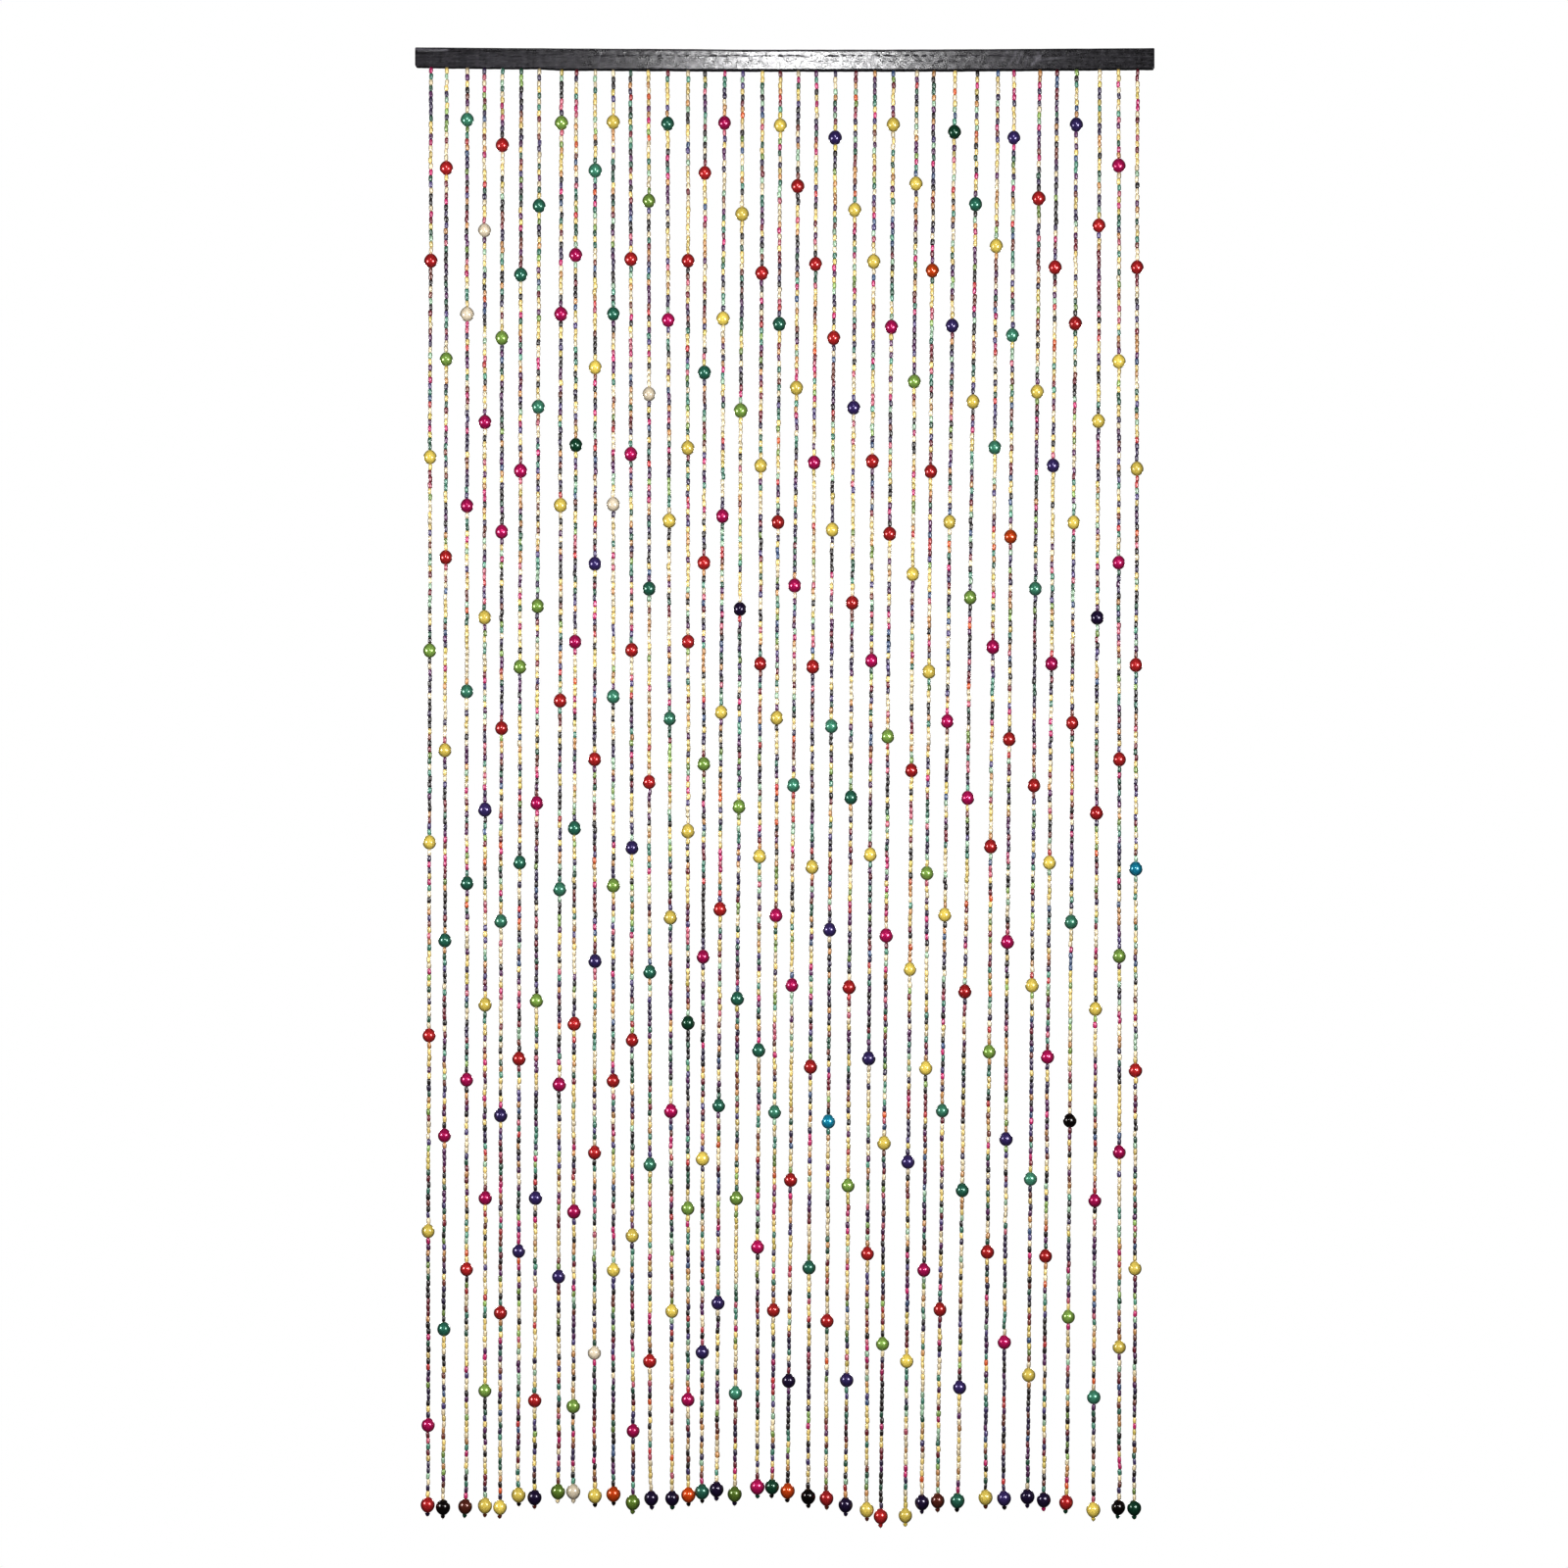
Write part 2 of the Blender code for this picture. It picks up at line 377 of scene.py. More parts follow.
def add_range(tree, value, low, high, to_low=0.0, to_high=1.0):
    """Maps a value from one range to another with soft ends."""
    ends = {"From Min": low, "From Max": high, "To Min": to_low, "To Max": to_high}
    node = add_node(tree, "ShaderNodeMapRange", ends, interpolation_type="SMOOTHSTEP")
    tree.links.new(value, node.inputs["Value"])
    return node.outputs["Result"]


def new_group(name, inputs, outputs):
    """An empty shader group. inputs and outputs are the names and kinds of its sockets."""
    group = bpy.data.node_groups.new(name, "ShaderNodeTree")
    for label, kind in inputs:
        group.interface.new_socket(label, in_out="INPUT", socket_type="NodeSocket" + kind)
    for label, kind in outputs:
        group.interface.new_socket(label, in_out="OUTPUT", socket_type="NodeSocket" + kind)
    return group, group.nodes.new("NodeGroupInput").outputs, group.nodes.new("NodeGroupOutput").inputs


def use_group(tree, group, links, values):
    """Places a group in a material, with some inputs linked and the others set."""
    node = add_node(tree, "ShaderNodeGroup", node_tree=group)
    for name, socket in links.items():
        tree.links.new(socket, node.inputs[name])
    for name, value in values.items():
        node.inputs[name].default_value = value
    return node.outputs


def make_grain_group():
    """Streaks along Place's third axis, as the grain of wood or a brush leaves them, from 0 to 1."""
    sockets = [("Place", "Vector"), ("Lines", "Float"), ("Stretch", "Float"), ("Detail", "Float")]
    group, given, made = new_group("lengthwise_grain", sockets, [("Grain", "Float")])
    parts = add_node(group, "ShaderNodeSeparateXYZ")
    group.links.new(given["Place"], parts.inputs[0])
    along = add_maths(group, "DIVIDE", given["Lines"], given["Stretch"])
    scaled = add_node(group, "ShaderNodeCombineXYZ")
    for axis, lines in zip("XYZ", (given["Lines"], given["Lines"], along)):
        group.links.new(add_maths(group, "MULTIPLY", parts.outputs[axis], lines), scaled.inputs[axis])
    noise = add_node(group, "ShaderNodeTexNoise", {"Scale": 1.0, "Roughness": 0.6})
    group.links.new(scaled.outputs[0], noise.inputs["Vector"])
    group.links.new(given["Detail"], noise.inputs["Detail"])
    group.links.new(add_range(group, noise.outputs["Fac"], *GRAIN_RANGE), made["Grain"])
    return group


def make_wear_group():
    """Where handling has rubbed the paint: 1 on rubbed spots, which keep to the rims."""
    sockets = [("Place", "Vector"), ("Rim", "Float"), ("Spots", "Float"), ("Reach", "Float")]
    group, given, made = new_group("rubbed_rims", sockets, [("Rubbed", "Float")])
    noise = add_node(group, "ShaderNodeTexNoise", {"Detail": 2.0})
    group.links.new(given["Place"], noise.inputs["Vector"])
    group.links.new(given["Spots"], noise.inputs["Scale"])
    reached = add_maths(group, "MULTIPLY", given["Rim"], given["Reach"])
    spotted = add_maths(group, "ADD", noise.outputs["Fac"], reached)
    group.links.new(add_range(group, spotted, *RUBBED_RANGE), made["Rubbed"])
    return group


def make_paint_group():
    """Paint over wood: the grain shows through a little, each piece took its own amount of paint, and the
    wood comes out where it is rubbed."""
    colours = [(name, "Color") for name in ("Paint", "Wood")]
    values = [(name, "Float") for name in ("Grain", "Rubbed", "Tone", "Depth", "Spread")]
    group, given, made = new_group("paint_over_wood", colours + values, [("Colour", "Color")])
    light = add_maths(group, "MULTIPLY", add_maths(group, "SUBTRACT", given["Grain"], 0.5), given["Depth"])
    even = add_maths(group, "MULTIPLY", given["Tone"], given["Spread"])
    bright = add_maths(group, "ADD", add_maths(group, "ADD", light, even), 1.0)
    shade = add_node(group, "ShaderNodeHueSaturation")
    group.links.new(bright, shade.inputs["Value"])
    group.links.new(given["Paint"], shade.inputs["Color"])
    bare = add_node(group, "ShaderNodeMix", data_type="RGBA")
    group.links.new(given["Rubbed"], bare.inputs["Factor"])
    group.links.new(shade.outputs[0], bare.inputs["A"])
    group.links.new(given["Wood"], bare.inputs["B"])
    group.links.new(bare.outputs["Result"], made["Colour"])
    return group


def make_gloss_group():
    """How rough the lacquer is: it follows the grain, and a rubbed spot is dull."""
    sockets = [("Grain", "Float"), ("Rubbed", "Float"), ("Glossy", "Float"), ("Dull", "Float")]
    group, given, made = new_group("uneven_gloss", sockets, [("Roughness", "Float")])
    share = add_maths(group, "MAXIMUM", add_maths(group, "MULTIPLY", given["Grain"], 0.5), given["Rubbed"])
    span = add_maths(group, "SUBTRACT", given["Dull"], given["Glossy"])
    dulled = add_maths(group, "MULTIPLY", share, span)
    group.links.new(add_maths(group, "ADD", given["Glossy"], dulled), made["Roughness"])
    return group


EFFECTS = {
    "grain": make_grain_group(),
    "wear": make_wear_group(),
    "paint": make_paint_group(),
    "gloss": make_gloss_group(),
}

# How a painted surface was finished: the wood under it, how many grain lines there are to a metre and how
# long they are for their width, how much they show, how much the tone differs from piece to piece, where
# it is rubbed, how rough it is, and its clear coat.
Finish = namedtuple("Finish", "wood lines stretch depth spread spots reach glossy dull coat")
LARGE_FINISH = Finish((206, 160, 106), 1500, 7, 0.22, 0.12, 900, 0.36, 0.3, 0.45, 1.0)
SMALL_FINISH = Finish((186, 146, 100), 1500, 7, 0.3, 0.22, 900, 0.36, 0.28, 0.42, 1.0)
RAIL_FINISH = Finish((58, 48, 42), 700, 12, 0.8, 1.0, 260, 0.25, 0.135, 0.175, 0.0)
RAIL_PAINT = (44, 43, 46)

# How fine the grain's detail is, and the lacquer of the large beads
GRAIN_DETAIL = 3.0
COAT_ROUGHNESS = 0.1
COAT_IOR = 1.75

# The small beads took a thinner paint, with this share of a washed-out tone in it, and a softer and
# brighter lacquer.
SMALL_THINNING = 0.14
WASHED_OUT = (84, 78, 72)
SMALL_COAT_ROUGHNESS = 0.34
SMALL_COAT_IOR = 2.3

# The relief in the rail's paint: for each kind, how many lines there are to a metre, how long they are for
# their width, and how fine the detail is. Pits lie in two rows along the front, each at a height and with a
# reach to each side, and along the rims.
Relief = namedtuple("Relief", "lines stretch detail")
PITS = Relief(360, 2.2, 1.0)
BLOTCHES = Relief(420, 0.9, 1.5)
RIDGES = Relief(300, 60, 2.0)
UPPER_PITS = (5.2 * MM, 2.4 * MM)
MIDDLE_PITS = (-1.6 * MM, 1.6 * MM)
MIDDLE_PITS_SHARE = 0.6
RIM_PITS_SHARE = 0.7
PIT_RANGE = (0.38, 0.56)
RIDGE_HEIGHT = 0.3
BLOTCH_HEIGHT = 0.19
PIT_DEPTH = 0.8
RELIEF_HEIGHT = 0.04 * MM
BLOTCH_DULLNESS = 0.05
PIT_DULLNESS = 0.5

# The thread's twist and its two tones
TWISTS = 420.0
TWIST_UNEVENNESS = 1.5
THREAD_SHADE = (176, 168, 150)
THREAD_LIGHT = (222, 216, 198)
THREAD_ROUGHNESS = (0.7, 0.5)

# A painted wood material and the parts of it that more can be linked to
PaintedWood = namedtuple("PaintedWood", "material tree shader place rim roughness")


def new_material(name):
    material = bpy.data.materials.new(name)
    material.use_nodes = True
    return material, material.node_tree, material.node_tree.nodes["Principled BSDF"]


def painted_wood(name, screen, finish):
    """A painted wood material in this colour, as a screen shows it, and with this finish."""
    material, tree, shader = new_material(name)
    place = add_node(tree, "ShaderNodeAttribute", attribute_name="grain_place").outputs["Vector"]
    rim = add_node(tree, "ShaderNodeAttribute", attribute_name="rim").outputs["Fac"]
    tone = add_node(tree, "ShaderNodeAttribute", attribute_name="tone").outputs["Fac"]
    lines = {"Lines": finish.lines, "Stretch": finish.stretch, "Detail": GRAIN_DETAIL}
    grain = use_group(tree, EFFECTS["grain"], {"Place": place}, lines)["Grain"]
    spots = {"Spots": finish.spots, "Reach": finish.reach}
    rubbed = use_group(tree, EFFECTS["wear"], {"Place": place, "Rim": rim}, spots)["Rubbed"]
    paint = {
        "Paint": (*linear(screen), 1),
        "Wood": (*linear(finish.wood), 1),
        "Depth": finish.depth,
        "Spread": finish.spread,
    }
    surface = {"Grain": grain, "Rubbed": rubbed}
    colour = use_group(tree, EFFECTS["paint"], {**surface, "Tone": tone}, paint)["Colour"]
    gloss = {"Glossy": finish.glossy, "Dull": finish.dull}
    roughness = use_group(tree, EFFECTS["gloss"], surface, gloss)["Roughness"]
    tree.links.new(colour, shader.inputs["Base Color"])
    tree.links.new(roughness, shader.inputs["Roughness"])
    shader.inputs["Coat Weight"].default_value = finish.coat
    shader.inputs["Coat Roughness"].default_value = COAT_ROUGHNESS
    shader.inputs["Coat IOR"].default_value = COAT_IOR
    return PaintedWood(material, tree, shader, place, rim, roughness)


def large_bead_paint(paint):
    bead = painted_wood(paint.name, paint.screen, LARGE_FINISH)
    bead.shader.inputs["Metallic"].default_value = paint.lustre
    return bead.material


def small_bead_paint(paint):
    pairs = zip(paint.screen, WASHED_OUT)
    screen = [own + SMALL_THINNING * (tone - own) for own, tone in pairs]
    bead = painted_wood(paint.name + "_lacquered", screen, SMALL_FINISH)
    bead.shader.inputs["Coat Roughness"].default_value = SMALL_COAT_ROUGHNESS
    bead.shader.inputs["Coat IOR"].default_value = SMALL_COAT_IOR
    return bead.material


def near(tree, value, middle, reach):
    """1 where a value is at its middle, and 0 where it is this far from it."""
    off = add_maths(tree, "ABSOLUTE", add_maths(tree, "SUBTRACT", value, middle), 0.0)
    return add_range(tree, off, 0.0, reach, 1.0, 0.0)


def add_relief(rail, relief):
    """One kind of relief along the rail, from 0 to 1."""
    values = {"Lines": relief.lines, "Stretch": relief.stretch, "Detail": relief.detail}
    return use_group(rail.tree, EFFECTS["grain"], {"Place": rail.place}, values)["Grain"]


def add_pits(rail):
    """1 in a pit: rows of them along the front, and some along the rims."""
    tree = rail.tree
    parts = add_node(tree, "ShaderNodeSeparateXYZ")
    tree.links.new(rail.place, parts.inputs[0])
    upper = near(tree, parts.outputs["Y"], *UPPER_PITS)
    middle = add_maths(tree, "MULTIPLY", near(tree, parts.outputs["Y"], *MIDDLE_PITS), MIDDLE_PITS_SHARE)
    along_rims = add_maths(tree, "MULTIPLY", rail.rim, RIM_PITS_SHARE)
    rows = add_maths(tree, "MAXIMUM", add_maths(tree, "MAXIMUM", upper, middle), along_rims)
    return add_range(tree, add_maths(tree, "MULTIPLY", add_relief(rail, PITS), rows), *PIT_RANGE)


def brushed_black_paint():
    """The rail's paint: brushed on along a sawn face, so it has ridges, mottling and rows of pits."""
    rail = painted_wood("brushed_black_paint", RAIL_PAINT, RAIL_FINISH)
    tree = rail.tree
    pits = add_pits(rail)
    blotches = add_relief(rail, BLOTCHES)
    ridges = add_maths(tree, "MULTIPLY", add_relief(rail, RIDGES), RIDGE_HEIGHT)
    height = add_maths(tree, "ADD", add_maths(tree, "MULTIPLY", blotches, BLOTCH_HEIGHT), ridges)
    height = add_maths(tree, "SUBTRACT", height, add_maths(tree, "MULTIPLY", pits, PIT_DEPTH))
    bump = add_node(tree, "ShaderNodeBump", {"Strength": 1.0, "Distance": RELIEF_HEIGHT})
    tree.links.new(height, bump.inputs["Height"])
    tree.links.new(bump.outputs["Normal"], rail.shader.inputs["Normal"])
    rough = add_maths(tree, "ADD", rail.roughness, add_maths(tree, "MULTIPLY", blotches, BLOTCH_DULLNESS))
    rough = add_maths(tree, "ADD", rough, add_maths(tree, "MULTIPLY", pits, PIT_DULLNESS))
    tree.links.new(rough, rail.shader.inputs["Roughness"])
    return rail.material


def waxed_thread():
    """Plain twisted cord: a fine slanting twist in its colour and its gloss."""
    material, tree, shader = new_material("waxed_thread")
    bands = {"Scale": TWISTS, "Distortion": TWIST_UNEVENNESS}
    twist = add_node(tree, "ShaderNodeTexWave", bands, wave_type="BANDS", bands_direction="DIAGONAL")
    coordinates = add_node(tree, "ShaderNodeTexCoord")
    tree.links.new(coordinates.outputs["Object"], twist.inputs["Vector"])
    colour = add_node(tree, "ShaderNodeMix", data_type="RGBA")
    colour.inputs["A"].default_value = (*linear(THREAD_SHADE), 1)
    colour.inputs["B"].default_value = (*linear(THREAD_LIGHT), 1)
    tree.links.new(twist.outputs["Fac"], colour.inputs["Factor"])
    tree.links.new(colour.outputs["Result"], shader.inputs["Base Color"])
    rough = add_range(tree, twist.outputs["Fac"], 0.0, 1.0, *THREAD_ROUGHNESS)
    tree.links.new(rough, shader.inputs["Roughness"])
    return material


# Turned beads and threads


def ball_form(bore, bands, sides, stretch):
    """A ball with a bore, drawn out by these shares towards its lower and its upper mouth."""
    most = math.acos(bore)
    rings = []
    for i in range(bands + 1):
        angle = most * (2 * i / bands - 1)
        height = math.sin(angle)
        rings.append((height * (1 + stretch[height > 0] * abs(height) ** 3), math.cos(angle)))
    return TurnedForm(tuple(rings), sides)


LARGE_FORM = ball_form(LARGE_BORE, LARGE_BANDS, LARGE_SIDES, LARGE_STRETCH)
END_FORM = ball_form(LARGE_BORE, LARGE_BANDS, LARGE_SIDES, END_STRETCH)


def ring_faces(ring_count, sides):
    """Faces of rings that are joined in order, the last to the first."""
    ring, side = np.meshgrid(np.arange(ring_count), np.arange(sides), indexing="ij")
    after, beside = (ring + 1) % ring_count, (side + 1) % sides
    corners = (ring * sides + side, ring * sides + beside, after * sides + beside, after * sides + side)
    return np.stack(corners, -1).reshape(-1, 4)


def form_map(form):
    """Where each corner of the form's faces lies in its own cell of the map, which runs from 0 to 1. The
    bore takes a low strip of the cell and the outside takes the rest."""
    heights, radii = np.array(form.rings).T
    steps = np.hypot(np.diff(heights), np.diff(radii))
    outside = OUTSIDE_FROM + (1 - OUTSIDE_FROM) * np.append(0, np.cumsum(steps)) / steps.sum()
    bands = list(zip(outside[:-1], outside[1:])) + [(BORE_UP_TO, 0.0)]
    cells = []
    for low, high in bands:
        for side in range(form.sides):
            left, right = side / form.sides, (side + 1) / form.sides
            cells.append([(left, low), (right, low), (right, high), (left, high)])
    return np.array(cells)


def map_cells(count, band):
    """The corner of each bead's cell in its band of the map, and the cells' size, without their margins."""
    rows = math.ceil(count / band.columns)
    cell = np.array([1 / band.columns, (band.high - band.low) / rows])
    index = np.arange(count)
    corners = np.stack([(index % band.columns) * cell[0], band.low + (index // band.columns) * cell[1]], -1)
    return corners + CELL_MARGIN * cell, (1 - 2 * CELL_MARGIN) * cell


def turned_beads(form, beads, cells, rng):
    """All the beads of one form on a string, as one part: each with its own spin, ovality and tone."""
    count = len(beads.middles)
    heights, radii = np.array(form.rings).T
    spin = rng.uniform(0, 2 * math.pi, (count, 1, 1))
    oval = rng.uniform(-OVALITY, OVALITY, (count, 1, 1))
    turn = 2 * math.pi * np.arange(form.sides)[None, None, :] / form.sides + spin
    across = beads.radii[:, None, None] * radii[None, :, None]
    x = across * np.cos(turn) * (1 + oval)
    y = across * np.sin(turn) * (1 - oval)
    z = np.broadcast_to(beads.halves[:, None, None] * heights[None, :, None], x.shape)
    own = np.stack([x, y, z], -1)
    lean_x, lean_y = beads.leans[:, 0, None, None], beads.leans[:, 1, None, None]
    leaning = np.stack([x + lean_x * z, y + lean_y * z, z - lean_x * x - lean_y * y], -1)
    points = leaning + beads.middles[:, None, None, :]
    faces = ring_faces(len(heights), form.sides)
    per_bead = len(heights) * form.sides
    offsets = per_bead * np.arange(count)[:, None, None]
    corner, size = cells
    corners = corner[:, None, None, :] + form_map(form)[None] * size
    rim = np.broadcast_to(np.abs(heights)[None, :, None] ** 3, x.shape)
    tone = np.broadcast_to(rng.uniform(-1, 1, (count, 1, 1)), x.shape)
    place = own + rng.uniform(0, 1, (count, 1, 1, 3))
    return Part(
        points.reshape(-1, 3),
        (faces[None] + offsets).reshape(-1, 4),
        np.repeat(beads.paints, len(faces)),
        corners.reshape(-1, 2),
        rim.ravel(),
        tone.ravel(),
        place.reshape(-1, 3),
    )


def mesh_of(name, parts, materials):
    """One mesh of these parts, with their paints, map and surface values."""
    starts = np.cumsum([0] + [len(part.points) for part in parts])
    points = np.concatenate([part.points for part in parts])
    faces = np.concatenate([part.faces + start for part, start in zip(parts, starts)])
    mesh = bpy.data.meshes.new(name)
    mesh.from_pydata(points.tolist(), [], faces.tolist())
    used, index = np.unique(np.concatenate([part.paints for part in parts]), return_inverse=True)
    for paint in used:
        mesh.materials.append(materials[int(paint)])
    mesh.polygons.foreach_set("material_index", index.astype(np.int32))
    layer = mesh.uv_layers.new(name="OFBake")
    corners = np.concatenate([part.corners for part in parts]).astype(np.float32)
    layer.uv.foreach_set("vector", corners.ravel())
    for label in ("rim", "tone"):
        values = np.concatenate([getattr(part, label) for part in parts]).astype(np.float32)
        mesh.attributes.new(label, "FLOAT", "POINT").data.foreach_set("value", values)
    places = np.concatenate([part.place for part in parts]).astype(np.float32)
    mesh.attributes.new("grain_place", "FLOAT_VECTOR", "POINT").data.foreach_set("vector", places.ravel())
    mesh.shade_smooth()
    mesh.set_sharp_from_angle(angle=math.radians(SMOOTH_UNDER_DEGREES))
    return mesh


def add_piece(name, mesh, node):
    """Puts a piece in the scene in place of a node of the part, riding on the part's one body."""
    piece = bpy.data.objects.new(name, mesh)
    bpy.context.scene.collection.objects.link(piece)
    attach(piece, "root")
    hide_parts(node)
    return piece


class Hang:
    """The line that one string hangs along."""

    def __init__(self, row, rng):
        self.row = row
        self.phases = rng.random((2, len(SWAY_LENGTHS)))
        self.kick = rng.normal(0, TAIL_KICK, 2)

    def at(self, depth):
        """The points of the line at these depths."""
        depth = np.asarray(depth, float)
        offsets = []
        for phases, kick in zip(self.phases, self.kick):
            waves = sum(np.sin(2 * math.pi * (depth / n + p)) for n, p in zip(SWAY_LENGTHS, phases))
            sway = SWAY * np.clip(depth / SWAY_FULL_AT, 0, 1) * waves / len(SWAY_LENGTHS)
            tail = np.clip((depth - self.row.tip * MM + TAIL_LENGTH) / TAIL_LENGTH, 0, 1)
            offsets.append(sway + kick * tail**2)
        x = string_x(self.row, depth) + offsets[0]
        y = -RAIL_DEPTH / 2 + (offsets[1] - SWAY) * SWAY_TO_THE_FRONT
        return np.stack([x, y, -depth], -1)

    def lean(self, depth):
        """How the line leans at these depths, for each unit of height."""
        above, below = self.at(depth - LEAN_STEP), self.at(depth + LEAN_STEP)
        return (above - below)[:, :2] / (2 * LEAN_STEP)


def paint_shares(kind, tilt=0.0):
    """The chance of each paint. A tilt above 0 favours the pale paints, and one below 0 the dark ones."""
    chances = np.array([getattr(paint, kind) for paint in PAINTS], float)
    chances /= chances.sum()
    pale = np.array([sum(paint.screen) for paint in PAINTS], float)
    pale -= chances @ pale
    pale /= math.sqrt(chances @ pale**2)
    tilted = chances * np.exp(tilt * pale)
    return tilted / tilted.sum()


def draw_handful(count, rng):
    """Paints for so many small beads in a row: a handful that is paler or darker than the next, in which
    a bead is like the one before it by a small chance."""
    shares = paint_shares("small", rng.normal(0, HANDFUL_TONE))
    drawn = rng.choice(len(PAINTS), count, p=shares)
    for i in np.flatnonzero(rng.random(count - 1) < SAME_AGAIN) + 1:
        drawn[i] = drawn[i - 1]
    return drawn


def deal_paints(counts, kind, rng):
    """Paints for so many beads on each string, dealt so that each paint comes up as often as it should and
    no two neighbours on a string are alike."""
    left = paint_shares(kind) * sum(counts)
    dealt = []
    for count in counts:
        string = []
        for _ in range(count):
            chances = left.clip(0)
            if string:
                chances[string[-1]] = 0
            paint = rng.choice(len(PAINTS), p=chances / chances.sum())
            left[paint] -= 1
            string.append(paint)
        dealt.append(np.array(string))
    return dealt


def leans_of(hang, depths, spread, rng):
    return hang.lean(depths) + np.clip(rng.normal(0, spread, (len(depths), 2)), -MOST_LEAN, MOST_LEAN)


def small_bead_row(start, stop, rng):
    """The middles and half lengths of the small beads that fill the string between two depths."""
    count = max(1, round((stop - start) / (SMALL_BEAD_LENGTH + BEAD_GAP)))
    lengths = 1 + rng.uniform(-SMALL_LENGTH_SPREAD, SMALL_LENGTH_SPREAD, count)
    lengths *= (stop - start - BEAD_GAP * (count + 1)) / lengths.sum()
    ends = start + np.cumsum(lengths + BEAD_GAP)
    return ends - lengths / 2, lengths / 2


def string_parts(row, seed, spaced_paints, last_paint):
    """The small beads, the large beads and the stopper of one string."""
    rng = np.random.default_rng(seed + 1)
    hang = Hang(row, rng)
    large = np.array(large_bead_depths(row, seed))
    radii = np.full(len(large), LARGE_BEAD_RADIUS)
    radii[-1] = END_BEAD_RADIUS
    radii *= 1 + rng.normal(0, LARGE_RADIUS_SPREAD, len(large))
    underside = -float(cut_heights(row.root * MM)[0])
    tops = large - radii * LARGE_FORM.rings[-1][0]
    bottoms = large - radii * LARGE_FORM.rings[0][0]
    foot = large[-1] - radii[-1] * END_FORM.rings[0][0]
    rows = [small_bead_row(start, stop, rng) for start, stop in zip([underside, *bottoms[:-1]], tops)]
    depths, halves = (np.concatenate(values) for values in zip(*rows))
    handfuls = [draw_handful(len(row_depths), rng) for row_depths, _ in rows]
    middles = hang.at(depths)
    middles[:, :2] += rng.normal(0, OFF_CENTRE, (len(depths), 2))
    small = Beads(
        middles,
        halves,
        SMALL_BEAD_RADIUS * (1 + rng.normal(0, SMALL_RADIUS_SPREAD, len(depths))),
        leans_of(hang, depths, SMALL_BEAD_LEAN, rng),
        np.concatenate(handfuls) + len(PAINTS),
    )
    leans = leans_of(hang, large, LARGE_BEAD_LEAN, rng)
    spaced = Beads(hang.at(large[:-1]), radii[:-1], radii[:-1], leans[:-1], spaced_paints)
    last = Beads(hang.at(large[-1:]), radii[-1:], radii[-1:], leans[-1:], last_paint)
    stopper_at = np.array([foot + STOPPER_LENGTH / 2])
    own = rng.random() < STOPPER_LIKE_BEAD
    stopper = Beads(
        hang.at(stopper_at),
        np.array([STOPPER_LENGTH / 2]),
        np.array([STOPPER_RADIUS * rng.uniform(*STOPPER_RADIUS_SHARES)]),
        leans_of(hang, stopper_at, STOPPER_LEAN, rng),
        last_paint if own else rng.choice(len(PAINTS), 1, p=paint_shares("stopper")),
    )
    parts = [
        turned_beads(SMALL_FORM, small, map_cells(len(depths), SMALL_BAND), rng),
        turned_beads(LARGE_FORM, spaced, map_cells(len(large) - 1, LARGE_BAND), rng),
        turned_beads(END_FORM, last, map_cells(1, END_BAND), rng),
        turned_beads(STOPPER_FORM, stopper, map_cells(1, STOPPER_BAND), rng),
    ]
    return parts, hang


def thread_part(row, hang, index):
    """One thread, from inside the rail to just below the stopper."""
    start = -float(cut_heights(row.root * MM)[0]) - THREAD_IN_WOOD
    stop = row.tip * MM + THREAD_END
    depths = np.linspace(stop, start, math.ceil((stop - start) / THREAD_STEP))
    turn = 2 * math.pi * np.arange(THREAD_SIDES) / THREAD_SIDES
    ring = THREAD_RADIUS * np.stack([np.cos(turn), np.sin(turn), np.zeros(THREAD_SIDES)], -1)
    points = (hang.at(depths)[:, None, :] + ring).reshape(-1, 3)
    sides = ring_faces(len(depths), THREAD_SIDES)[:-THREAD_SIDES]
    bottom = [[0, 3, 2, 1], [0, 5, 4, 3]]
    top = [[p + len(points) - THREAD_SIDES for p in face[::-1]] for face in bottom]
    faces = np.concatenate([sides, bottom, top])
    share = np.arange(len(faces)) / len(faces)
    width = 1 / len(STRINGS)
    left = np.full(len(faces), index * width)
    cell = ((0, 0), (THREAD_CELL, 0), (THREAD_CELL, THREAD_CELL), (0, THREAD_CELL))
    corners = []
    for across, up in cell:
        corners.append(np.stack([left + width * across, share * THREAD_MAP_HEIGHT + up / len(faces)], -1))
    corners = np.stack(corners, 1).reshape(-1, 2)
    plain = np.zeros(len(points))
    return Part(points, faces, np.zeros(len(faces)), corners, plain, plain, points)


def add_strings():
    paints = [large_bead_paint(paint) for paint in PAINTS] + [small_bead_paint(paint) for paint in PAINTS]
    dealer = np.random.default_rng(DEAL_SEED)
    spaced_paints = deal_paints([row.spaced for row in STRINGS], "large", dealer)
    last_paints = deal_paints([1] * len(STRINGS), "last", dealer)
    threads = []
    for seed, row in enumerate(STRINGS):
        parts, hang = string_parts(row, seed, spaced_paints[seed], last_paints[seed])
        name = f"string_{seed + 1:02d}"
        add_piece(name, mesh_of(name, parts, paints), "strings")
        threads.append(thread_part(row, hang, seed))
    add_piece("threads", mesh_of("threads", threads, [waxed_thread()]), "strings")


# The rail


